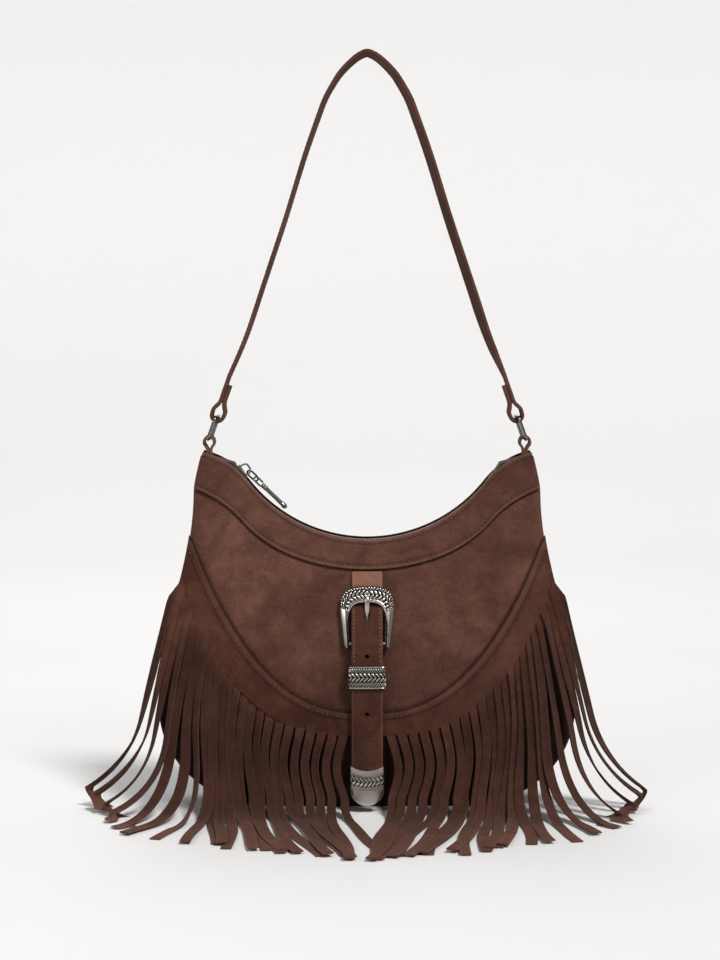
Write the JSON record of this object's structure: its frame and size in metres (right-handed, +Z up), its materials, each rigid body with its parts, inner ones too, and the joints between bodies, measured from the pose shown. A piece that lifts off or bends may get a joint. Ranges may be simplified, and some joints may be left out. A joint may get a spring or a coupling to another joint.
{
  "type": "fringed shoulder bag",
  "caption": "Hobo shoulder bag with a scooped zip mouth, long shoulder strap on rings, a front buckle strap with metal keeper and tip, and a deep cut fringe.",
  "frame": {"origin": "middle of the flat base, on the floor", "axes": "+Z up to the strap, -Y to the fringed front, +X to the right as seen from the front"},
  "size_m": [0.5006, 0.2429, 0.5645],
  "materials": {
    "suede": "mottled brushed suede",
    "strap_leather": "smoother nubuck",
    "lining": "plain woven lining",
    "zip_cloth": "woven tape",
    "aged_silver": "aged silver with dark recesses",
    "dark_metal": "polished gunmetal"
  },
  "bodies": {
    "bag": {"front_panel": "suede", "back_panel": "suede", "gusset": "suede", "front_band": "suede", "back_band": "suede", "fringe": "suede", "tab_left": "suede", "tab_right": "suede", "lining": "lining", "zip_tape_front": "zip_cloth", "zip_tape_back": "zip_cloth", "zip_teeth_front": "dark_metal", "zip_teeth_back": "dark_metal", "billet_strap": "strap_leather", "buckle_chape": "strap_leather", "strap_tip": "aged_silver"},
    "slider": {"zip_slider": "dark_metal"},
    "link": {"zip_link": "dark_metal"},
    "pull": {"zip_pull": "dark_metal"},
    "ring_l": {"ring_left": "dark_metal"},
    "ring_r": {"ring_right": "dark_metal"},
    "strap": {"shoulder_strap": "strap_leather"},
    "frame": {"buckle_frame": "aged_silver"},
    "prong": {"buckle_prong": "aged_silver"},
    "keeper": {"strap_keeper": "aged_silver"}
  },
  "joints": [
    {"name": "zip_slide", "type": "hinge", "parent": "bag", "child": "slider", "pos_m": [0, 0, 0.311], "axis": [0, -1, 0], "range_deg": [0, 90]},
    {"name": "link_hinge", "type": "hinge", "parent": "slider", "child": "link", "pos_m": [-0.08927, 0, 0.24939], "axis": [0.4465, -0.766, 0.4624], "range_deg": [0, 34]},
    {"name": "pull_hinge", "type": "hinge", "parent": "link", "child": "pull", "pos_m": [-0.08208, 0, 0.24244], "axis": [0.4465, -0.766, 0.4624], "range_deg": [0, 30]},
    {"name": "strap_sway", "type": "hinge", "parent": "bag", "child": "strap", "pos_m": [0, 0, 0.60017], "axis": [0, 1, 0], "range_deg": [-0.45, 0.45]},
    {"name": "ring_left_swing", "type": "hinge", "parent": "bag", "child": "ring_l", "pos_m": [-0.118, 0, 0.2737], "axis": [0, 1, 0], "range_deg": [-9, 9]},
    {"name": "ring_right_swing", "type": "hinge", "parent": "bag", "child": "ring_r", "pos_m": [0.118, 0, 0.2737], "axis": [0, 1, 0], "range_deg": [-9, 9]},
    {"name": "frame_tilt", "type": "hinge", "parent": "bag", "child": "frame", "pos_m": [0, -0.039, 0.1246], "axis": [1, 0, 0], "range_deg": [0, 3]},
    {"name": "prong_lift", "type": "hinge", "parent": "frame", "child": "prong", "pos_m": [0, -0.039, 0.1246], "axis": [1, 0, 0], "range_deg": [0, 3]},
    {"name": "keeper_slide", "type": "slide", "parent": "bag", "child": "keeper", "axis": [0, 0, 1], "range_m": [-0.052, 0.001]}
  ],
  "couplings": [
    {"joint": "ring_left_swing", "follows": "strap_sway", "ratio": -18.667},
    {"joint": "ring_right_swing", "follows": "strap_sway", "ratio": -18.667}
  ]
}
